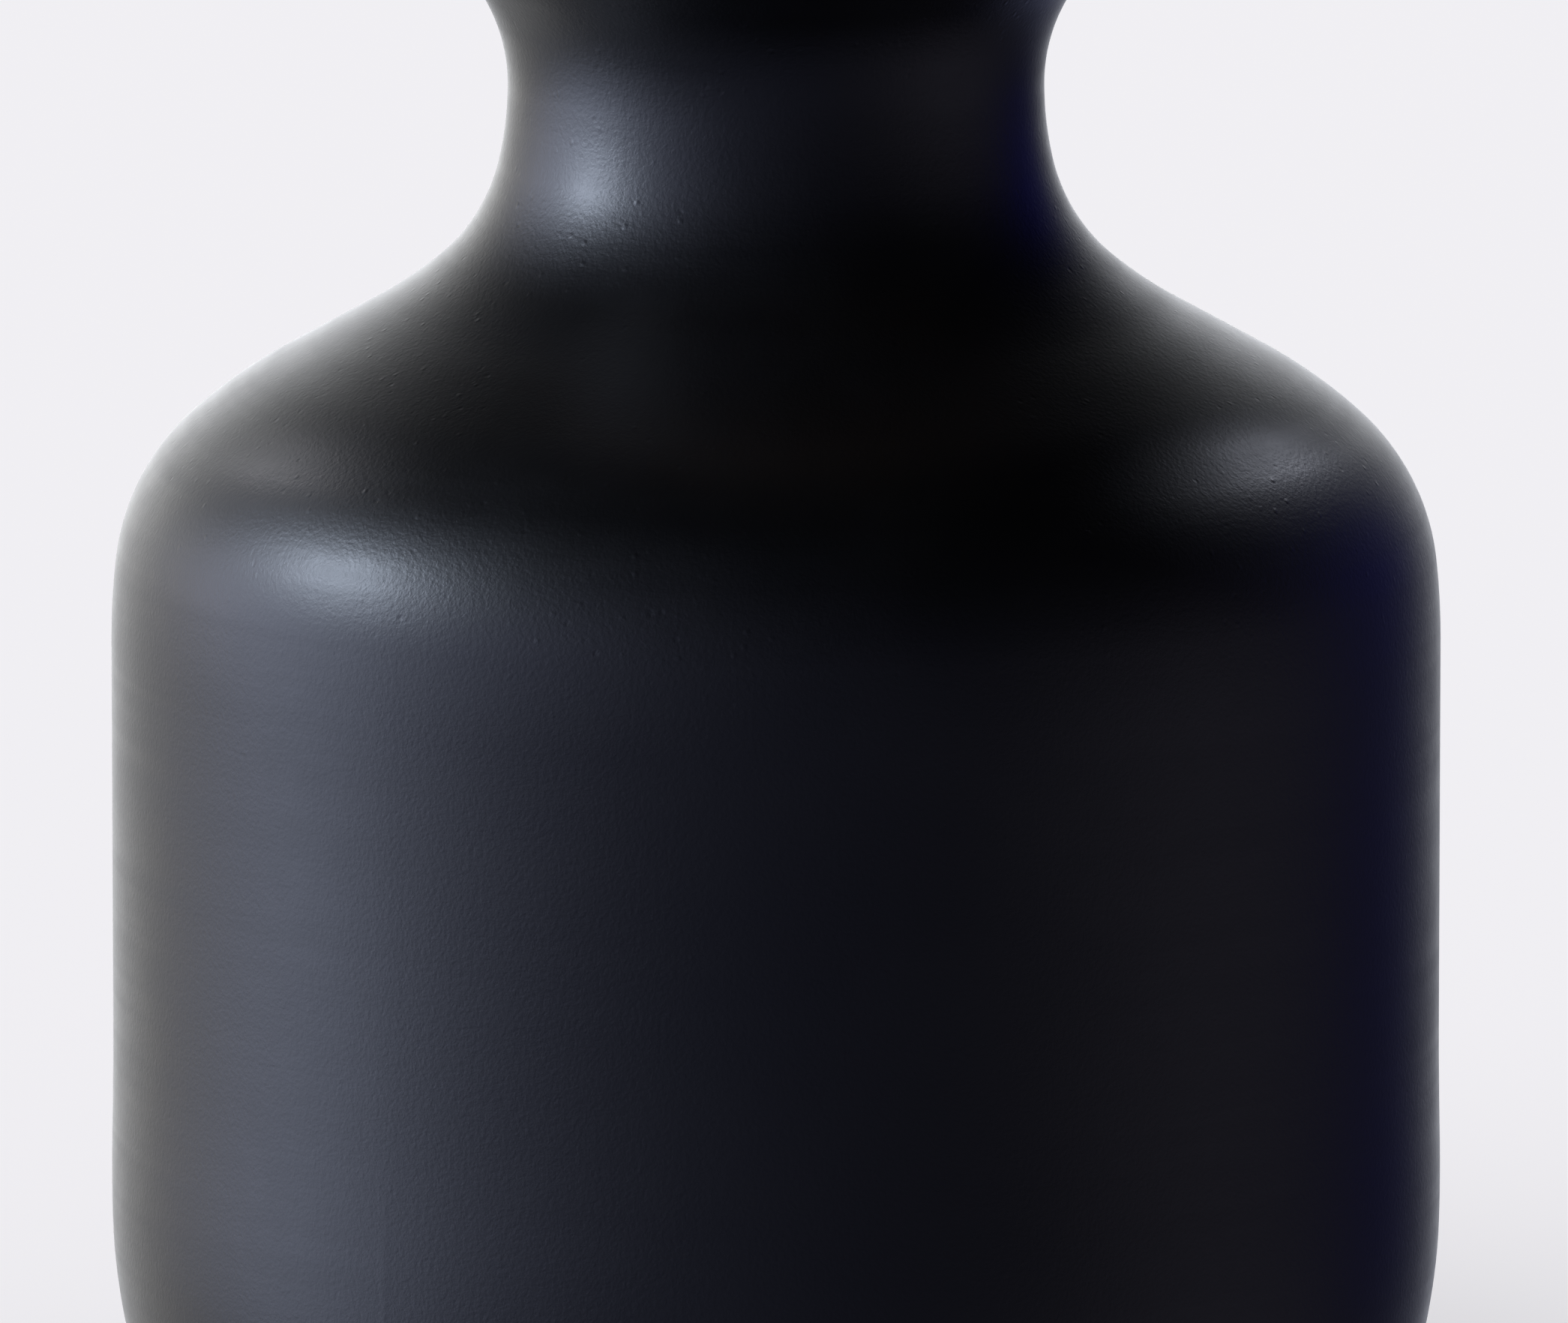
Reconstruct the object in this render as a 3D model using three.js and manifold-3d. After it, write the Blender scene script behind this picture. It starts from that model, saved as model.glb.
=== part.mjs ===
// Candle jar with a waisted neck and a stopper lid: a moulded glass vessel, four bumper pads under it, and
// a turned wooden lid with two silicone seal rings and a knob held by one screw.
// Millimetres, +Z up along the jar's axis, origin at the centre of the base on the surface it stands on.
import * as THREE from 'three';
import { mergeVertices } from 'three/addons/utils/BufferGeometryUtils.js';
import Module from 'manifold-3d';

const wasm = await Module();
wasm.setup();

// ---- driving dimensions --------------------------------------------------------------------------------
const GAP = 0.3;                    // clearance between pieces that meet
const ROUND_SEGMENTS = 40;          // facets round the vessel, the lid and the seals
const ARC_STEP = 10;                // degrees of turn per facet along an outline
const EDGE_STEP = 30;               // the same on small rounded edges
const BALL_STEP = 15;               // and on the knob's ball

// Vessel wall
const BODY_RADIUS = 50;
const WALL = 3.2;
const FLOOR_THICKNESS = 6;
const WALL_START = 22.7;            // height where the base curve becomes the straight wall
const WALL_HEIGHT = 44.2;           // straight wall, from there to the shoulder
const SWEEP = { radius: 40, turn: 12 };             // slow curve below the straight wall
const CORNER_TURN = 90 - SWEEP.turn;                // tighter curve from there to the flat base
const SHOULDER = [
  { radius: 53.4, turn: 6.4 },
  { radius: 16.3, turn: 41.6 },
  { radius: 35.5, turn: 12.9 },
];
const SLOPE_LENGTH = 8;             // straight stretch where the shoulder turns into the neck
const NECK = [
  { radius: 34, turn: -11.2 },
  { radius: 14.4, turn: -37 },
  { radius: 25.8, turn: -12.7 },
];
const FLARE = { radius: 13.1, turn: -38 };
const FLARE_LENGTH = 5;             // straight cone between the flare and the rolled lip
const PUNT_RADIUS = 20;             // hollow pressed into the underside
const PUNT_DEPTH = 1.4;

// Bumper pads
const PAD = { count: 4, radius: 4.5, edge: 0.9, height: 1.3, circle: 26 };

// Lid: disc, tapered shoulder and plug in one piece of wood
const LID_RADIUS = 27.5;
const LID_THICKNESS = 9;
const LID_EDGE = 1.8;
const TAPER = { radius: 19.5, height: 6 };
const PLUG = { radius: 15.2, length: 21.5, chamfer: 1 };
const COUNTERBORE = { radius: 5.2, depth: 14.5 };
const LID_BORE = 2.3;

// Silicone rings in the plug's grooves
const GROOVE = { depth: 1.6, width: 3.2 };
const SEAL = { band: 2.2, fin: 0.9, reach: 16.4, droop: 0.8 };
const SEAL_OFFSETS = { seal_ring_lower: -2.9, seal_ring_upper: 2.9 };   // from the neck's waist

// Knob, washer and screw
const KNOB = { foot: 6.6, footHeight: 0.8, ball: 7.6, undercut: 38, hollow: 1.6 };
const KNOB_BORE = { radius: 2, depth: 11 };
const WASHER = { bore: 2.2, radius: 4.6, thickness: 0.8 };
const SCREW = { head: 3.9, headHeight: 2.4, shank: 1.7, root: 1.25, pitch: 1.3, threads: 7, point: 3 };
const RECESS = { length: 4.2, width: 1, depth: 1.4 };

// ---- outlines and solids -------------------------------------------------------------------------------

// Draws a half section. X is the distance from the axis, Y the height; the heading is in degrees from +X.
class Pen {
  constructor(x, y, heading = 0) {
    this.at = new THREE.Vector2(x, y);
    this.heading = THREE.MathUtils.degToRad(heading);
    this.points = [this.at.clone()];
  }

  line(length) {
    this.at.x += length * Math.cos(this.heading);
    this.at.y += length * Math.sin(this.heading);
    this.points.push(this.at.clone());
    return this;
  }

  to(x, y) {
    this.heading = Math.atan2(y - this.at.y, x - this.at.x);
    this.at.set(x, y);
    this.points.push(this.at.clone());
    return this;
  }

  // A positive turn curves left, a negative one right.
  arc(radius, turn, step = ARC_STEP) {
    const steps = Math.ceil(Math.abs(turn) / step);
    const stepTurn = THREE.MathUtils.degToRad(turn) / steps;
    const chord = 2 * radius * Math.sin(Math.abs(stepTurn) / 2);
    for (let i = 0; i < steps; i += 1) {
      this.heading += stepTurn / 2;
      this.line(chord);
      this.heading += stepTurn / 2;
    }
    return this;
  }

  closed() {
    return [...this.points, this.points[0].clone()];
  }
}

function turned(points, segments = ROUND_SEGMENTS) {
  return new THREE.LatheGeometry(points, segments).rotateX(Math.PI / 2);
}

function toManifold(geometry) {
  const bare = geometry.clone();
  bare.deleteAttribute('normal');
  bare.deleteAttribute('uv');
  const merged = mergeVertices(bare, 1e-4);
  return new wasm.Manifold(new wasm.Mesh({
    numProp: 3,
    vertProperties: new Float32Array(merged.attributes.position.array),
    triVerts: new Uint32Array(merged.index.array),
  }));
}

function toGeometry(manifold) {
  const mesh = manifold.getMesh();
  const geometry = new THREE.BufferGeometry();
  geometry.setAttribute('position', new THREE.BufferAttribute(new Float32Array(mesh.vertProperties), 3));
  geometry.setIndex(new THREE.BufferAttribute(new Uint32Array(mesh.triVerts), 1));
  geometry.computeVertexNormals();
  return geometry;
}

const sine = (degrees) => Math.sin(THREE.MathUtils.degToRad(degrees));
const cosine = (degrees) => Math.cos(THREE.MathUtils.degToRad(degrees));

const BASE_Z = PAD.height + GAP;

// ---- vessel --------------------------------------------------------------------------------------------

// The wall's outline at a distance inside the outer face, from the flat floor up to the end of the flare.
// Curves that bulge outwards lose the inset from their radius, and hollow ones gain it.
function wallOutline(inset, floorZ) {
  const sweepRadius = SWEEP.radius - inset;
  const cornerTop = WALL_START - sweepRadius * sine(SWEEP.turn);
  const cornerRadius = (cornerTop - floorZ) / (1 - cosine(CORNER_TURN));
  const sweepWidth = sweepRadius * (1 - cosine(SWEEP.turn));
  const flatRadius = BODY_RADIUS - inset - sweepWidth - cornerRadius * sine(CORNER_TURN);
  const pen = new Pen(flatRadius, floorZ).arc(cornerRadius, CORNER_TURN).arc(sweepRadius, SWEEP.turn);
  pen.line(WALL_HEIGHT);
  SHOULDER.forEach(({ radius, turn }) => pen.arc(radius - inset, turn));
  pen.line(SLOPE_LENGTH);
  NECK.forEach(({ radius, turn }) => pen.arc(radius + inset, turn));
  const waist = pen.at.clone();
  pen.arc(FLARE.radius + inset, FLARE.turn).line(FLARE_LENGTH);
  return { pen, waist };
}

const outerWall = wallOutline(0, BASE_Z);
const innerWall = wallOutline(WALL, BASE_Z + FLOOR_THICKNESS);
const lip = new Pen(outerWall.pen.at.x, outerWall.pen.at.y, 90 + FLARE.turn);
lip.arc(WALL / 2, 180, EDGE_STEP);
const LIP_TOP = Math.max(...lip.points.map((point) => point.y));
const WAIST_Z = innerWall.waist.y;

const vesselOutline = [
  new THREE.Vector2(0, BASE_Z + PUNT_DEPTH),
  new THREE.Vector2(PUNT_RADIUS * 0.55, BASE_Z + PUNT_DEPTH * 0.75),
  new THREE.Vector2(PUNT_RADIUS, BASE_Z),
  ...outerWall.pen.points,
  ...lip.points.slice(1, -1),
  ...innerWall.pen.points.reverse(),
  new THREE.Vector2(0, BASE_Z + FLOOR_THICKNESS),
];

// ---- lid -----------------------------------------------------------------------------------------------

const LID_Z = LIP_TOP + GAP;                        // underside of the disc
const LID_TOP = LID_Z + LID_THICKNESS;
const PLUG_Z = LID_Z - PLUG.length;
const BORE_FLOOR = PLUG_Z + COUNTERBORE.depth;      // face that the washer bears on
const GROOVE_RADIUS = PLUG.radius - GROOVE.depth;

function grooved(pen, offset) {
  const middle = WAIST_Z + offset;
  pen.to(PLUG.radius, middle - GROOVE.width / 2).to(GROOVE_RADIUS, middle - GROOVE.width / 2);
  pen.to(GROOVE_RADIUS, middle + GROOVE.width / 2).to(PLUG.radius, middle + GROOVE.width / 2);
}

function lidOutline() {
  const pen = new Pen(COUNTERBORE.radius, PLUG_Z).to(PLUG.radius - PLUG.chamfer, PLUG_Z);
  pen.to(PLUG.radius, PLUG_Z + PLUG.chamfer);
  Object.values(SEAL_OFFSETS).forEach((offset) => grooved(pen, offset));
  pen.to(PLUG.radius, LID_Z - TAPER.height).to(TAPER.radius, LID_Z);
  pen.to(LID_RADIUS - LID_EDGE / 2, LID_Z).arc(LID_EDGE / 2, 90, EDGE_STEP);
  pen.to(LID_RADIUS, LID_TOP - LID_EDGE).arc(LID_EDGE, 90, EDGE_STEP);
  pen.to(LID_BORE, LID_TOP).to(LID_BORE, BORE_FLOOR).to(COUNTERBORE.radius, BORE_FLOOR);
  return pen.closed();
}

// A flat band that fills its groove, with one thin fin drooping outwards towards the glass.
function sealOutline(middle) {
  const inner = GROOVE_RADIUS + GAP;
  const outer = PLUG.radius;
  const pen = new Pen(inner, middle - SEAL.band / 2).to(outer, middle - SEAL.band / 2);
  pen.to(outer, middle - SEAL.fin / 2).to(SEAL.reach, middle + SEAL.droop - SEAL.fin / 2);
  pen.to(SEAL.reach, middle + SEAL.droop).to(outer, middle + SEAL.fin / 2);
  pen.to(outer, middle + SEAL.band / 2).to(inner, middle + SEAL.band / 2);
  return pen.closed();
}

// ---- knob, washer and screw ----------------------------------------------------------------------------

const KNOB_Z = LID_TOP + GAP;

// A ball on a short hollow stem and a flat foot, bored from below for the screw. The stem's hollow meets the
// ball and the foot's cone at the same slope.
function knobOutline() {
  const stemRadius = KNOB.ball * sine(KNOB.undercut);
  const coneHeight = (KNOB.foot - stemRadius) * sine(KNOB.undercut) / cosine(KNOB.undercut);
  const boreTop = KNOB_Z + KNOB_BORE.depth;
  const pen = new Pen(0, boreTop).to(KNOB_BORE.radius, boreTop).to(KNOB_BORE.radius, KNOB_Z);
  pen.to(KNOB.foot, KNOB_Z).to(KNOB.foot, KNOB_Z + KNOB.footHeight);
  pen.to(stemRadius, KNOB_Z + KNOB.footHeight + coneHeight);
  pen.arc(KNOB.hollow, 2 * KNOB.undercut - 180, EDGE_STEP);
  pen.arc(KNOB.ball, 180 - KNOB.undercut, BALL_STEP);
  pen.points.at(-1).x = 0;
  return pen.points;
}

const WASHER_Z = BORE_FLOOR - GAP - WASHER.thickness;
const SCREW_HEAD_TOP = WASHER_Z - GAP;

function washerOutline() {
  const pen = new Pen(WASHER.bore, WASHER_Z).to(WASHER.radius, WASHER_Z);
  pen.to(WASHER.radius, WASHER_Z + WASHER.thickness).to(WASHER.bore, WASHER_Z + WASHER.thickness);
  return pen.closed();
}

// Driven upwards: a pan head at the bottom, a plain shank through the lid and a thread inside the knob.
function screwOutline() {
  const headBottom = SCREW_HEAD_TOP - SCREW.headHeight;
  const tip = KNOB_Z + KNOB_BORE.depth - GAP;
  const threadStart = tip - SCREW.point - SCREW.threads * SCREW.pitch;
  const pen = new Pen(0, headBottom).to(SCREW.head * 0.72, headBottom);
  pen.to(SCREW.head, headBottom + SCREW.headHeight * 0.45).to(SCREW.head, SCREW_HEAD_TOP);
  pen.to(SCREW.shank, SCREW_HEAD_TOP).to(SCREW.shank, threadStart);
  for (let i = 0; i < SCREW.threads; i += 1) {
    pen.to(SCREW.root, threadStart + (i + 0.5) * SCREW.pitch);
    pen.to(SCREW.shank, threadStart + (i + 1) * SCREW.pitch);
  }
  pen.to(0, tip);
  return pen.points;
}

function screwGeometry() {
  let body = toManifold(turned(screwOutline(), 20));
  const middle = SCREW_HEAD_TOP - SCREW.headHeight + RECESS.depth / 2 - GAP / 2;
  [[RECESS.length, RECESS.width], [RECESS.width, RECESS.length]].forEach(([x, y]) => {
    const slot = new THREE.BoxGeometry(x, y, RECESS.depth + GAP);
    body = body.subtract(toManifold(slot.translate(0, 0, middle)));
  });
  return toGeometry(body);
}

// ---- scene graph ---------------------------------------------------------------------------------------

const materials = {
  coat: { color: 0x101116, roughness: 0.45, metalness: 0 },
  wood: { color: 0xb98a5a, roughness: 0.6, metalness: 0 },
  silicone: { color: 0xd9dcd8, roughness: 0.4, metalness: 0 },
  steel: { color: 0xb4b6b8, roughness: 0.3, metalness: 1 },
  pad: { color: 0x2a2a2c, roughness: 0.7, metalness: 0 },
};

const group = new THREE.Group();
group.name = 'candle_jar';

function add(name, geometry, look) {
  const mesh = new THREE.Mesh(geometry, new THREE.MeshStandardMaterial(materials[look]));
  mesh.name = name;
  group.add(mesh);
  return mesh;
}

add('vessel', turned(vesselOutline), 'coat');
add('lid', turned(lidOutline()), 'wood');
Object.entries(SEAL_OFFSETS).forEach(([name, offset]) => {
  add(name, turned(sealOutline(WAIST_Z + offset)), 'silicone');
});
add('knob', turned(knobOutline(), 32), 'wood');
add('knob_washer', turned(washerOutline(), 24), 'steel');
add('knob_screw', screwGeometry(), 'steel');

const padOutline = new Pen(0, 0).to(PAD.radius, 0).to(PAD.radius - PAD.edge, PAD.height).to(0, PAD.height);
for (let i = 0; i < PAD.count; i += 1) {
  const angle = (i + 0.5) * (2 * Math.PI / PAD.count);
  const pad = add(`foot_pad_${i + 1}`, turned(padOutline.points, 20), 'pad');
  pad.position.set(PAD.circle * Math.cos(angle), PAD.circle * Math.sin(angle), 0);
}

export default group;
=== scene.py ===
"""Candle jar: a coated glass vessel on four bumper pads, with a turned wooden stopper lid.

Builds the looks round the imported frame. Metres, +Z up along the jar's axis, the same frame as the CAD.
"""

import math

import bpy
from mathutils import Matrix, Vector

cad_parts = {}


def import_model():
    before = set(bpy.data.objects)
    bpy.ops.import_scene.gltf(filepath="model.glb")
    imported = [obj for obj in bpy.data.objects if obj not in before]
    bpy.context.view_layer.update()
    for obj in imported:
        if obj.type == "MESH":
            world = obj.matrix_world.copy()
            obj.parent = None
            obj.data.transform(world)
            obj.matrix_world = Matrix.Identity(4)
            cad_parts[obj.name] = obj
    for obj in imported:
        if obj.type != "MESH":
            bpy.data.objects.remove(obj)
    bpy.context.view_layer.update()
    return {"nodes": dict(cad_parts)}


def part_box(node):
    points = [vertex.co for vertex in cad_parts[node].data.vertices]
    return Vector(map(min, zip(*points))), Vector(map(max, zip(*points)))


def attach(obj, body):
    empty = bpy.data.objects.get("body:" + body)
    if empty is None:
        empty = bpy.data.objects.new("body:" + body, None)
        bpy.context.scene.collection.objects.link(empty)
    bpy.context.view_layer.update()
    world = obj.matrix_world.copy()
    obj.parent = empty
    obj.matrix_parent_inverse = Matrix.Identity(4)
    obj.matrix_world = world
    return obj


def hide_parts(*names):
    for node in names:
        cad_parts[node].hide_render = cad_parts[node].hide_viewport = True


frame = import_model()
VESSEL_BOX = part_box("vessel")
BODY_RADIUS = VESSEL_BOX[1].x

# ---- driving dimensions ----------------------------------------------------------------------------------
MM = 0.001

# Vessel wall: arcs are (radius in mm, turn in degrees), from the flat base up to the lip
WALL = 3.2 * MM
FLOOR_THICKNESS = 6 * MM
WALL_START = 22.7 * MM              # height where the base curve becomes the straight wall
WALL_HEIGHT = 44.2 * MM
SWEEP = (40, 12)                    # slow curve below the straight wall
SHOULDER = [(53.4, 6.4), (16.3, 41.6), (35.5, 12.9)]
SLOPE_LENGTH = 8 * MM
NECK = [(34, -11.2), (14.4, -37), (25.8, -12.7)]
FLARE = (13.1, -38)
FLARE_LENGTH = 5 * MM
PUNT_RADIUS = 20 * MM               # hollow pressed into the underside
PUNT_DEPTH = 1.4 * MM
PUNT_BEND = (0.55, 0.75)            # where its roof turns down: shares of that radius and that depth
PUNT_EDGE = 3 * MM

# Marks that moulding and coating leave on the vessel
SEAM_ANGLE = math.radians(235)      # one of the two mould seams, from +X
SEAM_WIDTH = 0.35 * MM
SEAM_HEIGHT = 0.012 * MM
SEAM_FADE = (26 * MM, 36 * MM)      # heights between which the polished mould's seam fades out
BULGE = (26 * MM, 6 * MM, 0.15 * MM)                # height, spread and size of a slight swelling
SWELLS_BEYOND = 0.9                 # only the wall outside this share of the body's radius swells
CHILL_RINGS = [33 * MM, 24 * MM, 15 * MM]           # heights of faint rings round the lower wall
CHILL_RING_SIZE = (0.8 * MM, 0.008 * MM)            # spread and height of each
OUT_OF_ROUND = 0.04 * MM
OVAL_TWIST = 60                     # radians per metre of height, which turn the slight oval by half as much

# Bumper pads
PAD_TAPER = 0.9 * MM                # how much narrower the pad's top is, in radius
PAD_DISH = (0.12 * MM, 0.05 * MM)   # hollow of the lower face at its middle and further out
PAD_DISH_ENDS = (0.55, 0.75)        # shares of the radius where the second depth is and where the hollow ends
PAD_EDGE = 0.35 * MM
GLUE_MARGIN = 0.15 * MM

# Lid
DISC_THICKNESS = 9 * MM
LID_EDGE = 1.8 * MM                 # radius of the disc's upper edge, twice that of its lower one
TAPER = (19.5 * MM, 6 * MM)         # radius under the disc, and height down to the plug
PLUG_RADIUS = 15.2 * MM
PLUG_CHAMFER = 1 * MM
COUNTERBORE = (5.2 * MM, 14.5 * MM)                 # radius and depth
LID_BORE = 2.3 * MM
GROOVE_DEPTH = 1.6 * MM
GROOVE_WIDTH = 3.2 * MM
TURNED_EDGE = 0.25 * MM             # rounding that sanding leaves on every corner of the plug
TAPER_BENDS = (1.5 * MM, 0.8 * MM)  # rounding where the taper meets the plug and the disc

# Seals
SEAL_CLEARANCE = 0.3 * MM           # between the band and its groove's floor
SEAL_BAND = 2.2 * MM
SEAL_FIN = 0.9 * MM
SEAL_RISE = 0.8 * MM                # how much higher the fin's edge is than its root
SEAL_EDGE = 0.18 * MM

# Knob
KNOB_FOOT = (6.6 * MM, 0.8 * MM)    # radius and height of the foot's straight edge
KNOB_BALL = 7.6 * MM
KNOB_UNDERCUT = 38                  # degrees
KNOB_HOLLOW = 1.6 * MM              # radius of the hollow between foot and ball
KNOB_BORE = (2 * MM, 11 * MM)       # radius and depth
KNOB_EDGE = 0.3 * MM

# Washer and screw
WASHER_BORE = 2.2 * MM
WASHER_EDGES = (0.08 * MM, 0.25 * MM, 0.2 * MM)     # rounding of the lower, upper and bore edges
SCREW_SHANK = 1.7 * MM
SCREW_ROOT = 1.25 * MM
SCREW_PITCH = 1.3 * MM
SCREW_FLANK = 0.28                  # half width of a thread at its root, as a share of the pitch
SCREW_THREADS = 7
SCREW_POINT = 3 * MM
SCREW_TIP = 0.05 * MM
SCREW_HEAD = (3.9 * MM, 2.4 * MM)   # radius and height
SCREW_HEAD_FLAT = 0.72              # radius of the head's flat end, as a share of the head's
SCREW_HEAD_SIDE = 0.4               # where the head's side starts, as a share of its height
SCREW_EDGES = (0.9 * MM, 0.15 * MM, 0.2 * MM)       # rounding of the head's shoulder, rim and neck
THREAD_STEP = SCREW_PITCH / 10      # fineness of the mesh along the thread
RECESS = (4.2 * MM, 1 * MM, 1.4 * MM)               # length, width and depth of the driver's cross
RECESS_TAPER = (0.56, 0.72)         # length and width of its floor, as shares of those at its mouth

# Fineness of the turned meshes: columns round the axis
VESSEL_COLUMNS = 224
LID_COLUMNS = 144
SEAL_COLUMNS = 128
KNOB_COLUMNS = 96
WASHER_COLUMNS = 72
SCREW_COLUMNS = 48
PAD_COLUMNS = 40
OUTER_STEP, INNER_STEP = 1.6, 3.2   # degrees of arc per segment on the vessel's outer and inner face
SHARP_EDGE = math.radians(32)       # edges that turn more than this are shaded as creases

# Materials: scales are in waves or cells per metre, and depths in metres
NOISE_RANGE = (0.3, 0.7)            # nearly all values of a noise lie in here
PEEL = (2700, 0.022 * MM)           # orange peel of the coat: scale and depth
FINE_PEEL = (5200, 0.007 * MM)
PIMPLE_CELLS = (1000, 0.32)         # scale, and radius of a pimple as a share of its cell
PIMPLE_DEPTH = 0.019 * MM
PIMPLE_SHARE = 0.6                  # cells with a random number above this have a pimple
PIMPLE_SIGN = (0.35, 0.45)          # random numbers between which dents turn into bumps
PIMPLE_CLUSTERS = (130, 0.42, 0.56)                 # scale, and noise values between which a cluster starts
PIMPLE_HEIGHTS = (66 * MM, 76 * MM, 0.3)            # they weaken to the third between the second and first
NIB_CELLS = (110, 0.006, 0.016)     # scale, and radii between which a dust nib fades out, in cells
NIB_DEPTH = 0.03 * MM
NIB_SHARE = 0.95
NIB_COLOUR = (0.22, 0.22, 0.24, 1)
DRAG_STREAKS = (12, 12, 620)        # scales along X, Y and Z
STREAK_DEPTH = 0.007 * MM
STREAK_GLOSS = 0.012                # how much streaks change the coat's roughness, up or down
GLOSS_PATCHES, GLOSS_CLOUD = 45, 400                # scales of the coat's uneven gloss
COAT_DARK = (0.0008, 0.0008, 0.0011, 1)
COAT_LIGHT = (0.0014, 0.0014, 0.0020, 1)
COAT_ROUGHNESS = (0.385, 0.425)
WOOD_PALE = (0.50, 0.30, 0.155, 1)
WOOD_DEEP = (0.27, 0.135, 0.058, 1)
WOOD_DARKER = 0.45                  # pores and blotches, as a share of the deep colour
WOOD_STRETCH = 0.10                 # scale along the fibres, as a share of that across them
WOOD_RINGS = 430
WOOD_WARP = (0.010, 0.006)          # how far the rings stray, in metres on each axis across the fibres
WOOD_WARP_SCALE = 26
LATE_WOOD, FIBRE_TINT, PORE_TINT, BLOTCH_TINT = 0.62, 0.45, 0.55, 0.22     # how much each darkens the wood
WOOD_ROUGHNESS = (0.44, 0.60)
PORE_ROUGHNESS = 0.18               # what pores add to it
BLOTCHES = 42
FIBRES = (900, 38)                  # scale across and along
PORES = (2300, 150)
FIBRE_DEPTH = 0.020 * MM
PORE_DEPTH = 0.05 * MM
LATHE_MARKS = (0.45 * MM, 0.0012 * MM)              # spacing and depth
TOOL_MARKS = (0.12 * MM, 0.0010 * MM)

# ---- outlines and turned meshes --------------------------------------------------------------------------


class Pen:
    """Draws a half section in metres. r is the distance from the axis, and angles are in degrees from +r."""

    def __init__(self, r, z, heading=0.0):
        self.r, self.z = r, z
        self.heading = math.radians(heading)
        self.points = [(r, z)]

    def _step(self, length):
        self.r += length * math.cos(self.heading)
        self.z += length * math.sin(self.heading)
        self.points.append((self.r, self.z))

    def line(self, length, spacing=1.2 * MM):
        steps = max(1, math.ceil(length / spacing))
        for _ in range(steps):
            self._step(length / steps)
        return self

    def to(self, r, z, spacing=1.2 * MM):
        length = math.hypot(r - self.r, z - self.z)
        self.heading = math.atan2(z - self.z, r - self.r)
        self.line(length, spacing)
        return self

    def arc(self, radius, turn, step=2.5):
        """Turns left for a positive turn and right for a negative one, both in degrees."""
        steps = max(1, math.ceil(abs(turn) / step))
        step_turn = math.radians(turn) / steps
        chord = 2 * radius * math.sin(abs(step_turn) / 2)
        for _ in range(steps):
            self.heading += step_turn / 2
            self._step(chord)
            self.heading += step_turn / 2
        return self

    def soft_corner(self, r, z, r_next, z_next, radius):
        """Goes towards (r, z) and rounds that corner on the way to (r_next, z_next)."""
        a = Vector((self.r - r, self.z - z)).normalized()
        b = Vector((r_next - r, z_next - z)).normalized()
        inside = a.angle(b)
        back = radius / math.tan(inside / 2)
        start = Vector((r, z)) + a * back
        self.to(*start)
        cross = (-a).x * b.y - (-a).y * b.x
        turn = math.degrees(math.pi - inside)
        self.arc(radius, turn if cross > 0 else -turn, 15)
        return self


def even_angles(count):
    return [2 * math.pi * i / count for i in range(count)]


def revolve(name, outline, angles, shape=None, loop=False):
    """A closed mesh of revolution. shape(r, z, angle) may return a changed (r, z). Points on the axis become
    poles, and loop joins the outline's end to its start, as on a ring."""
    verts, rings = [], []
    for r, z in outline:
        if r < 1e-7:
            rings.append([len(verts)])
            verts.append((0.0, 0.0, z))
            continue
        rings.append(list(range(len(verts), len(verts) + len(angles))))
        for angle in angles:
            ra, za = shape(r, z, angle) if shape else (r, z)
            verts.append((ra * math.cos(angle), ra * math.sin(angle), za))
    if loop:
        rings.append(rings[0])
    faces = []
    for low, high in zip(rings, rings[1:]):
        for i in range(len(angles)):
            j = (i + 1) % len(angles)
            if len(low) == 1:
                faces.append((low[0], high[j], high[i]))
            elif len(high) == 1:
                faces.append((low[i], low[j], high[0]))
            else:
                faces.append((low[i], low[j], high[j], high[i]))
    mesh = bpy.data.meshes.new(name)
    mesh.from_pydata(verts, [], faces)
    mesh.validate()
    return new_piece(name, mesh)


def new_piece(name, mesh):
    mesh.polygons.foreach_set("use_smooth", [True] * len(mesh.polygons))
    mesh.set_sharp_from_angle(angle=SHARP_EDGE)
    mesh.update()
    piece = bpy.data.objects.new(name, mesh)
    bpy.context.scene.collection.objects.link(piece)
    return piece


def apply_boolean(piece, cutter):
    """Cuts cutter out of piece for good, and deletes cutter."""
    modifier = piece.modifiers.new("cut", "BOOLEAN")
    modifier.object = cutter
    modifier.operation = "DIFFERENCE"
    modifier.solver = "EXACT"
    graph = bpy.context.evaluated_depsgraph_get()
    mesh = bpy.data.meshes.new_from_object(piece.evaluated_get(graph))
    piece.modifiers.clear()
    piece.data = mesh
    mesh.set_sharp_from_angle(angle=SHARP_EDGE)
    bpy.data.objects.remove(cutter)


# ---- shader helpers --------------------------------------------------------------------------------------


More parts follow.
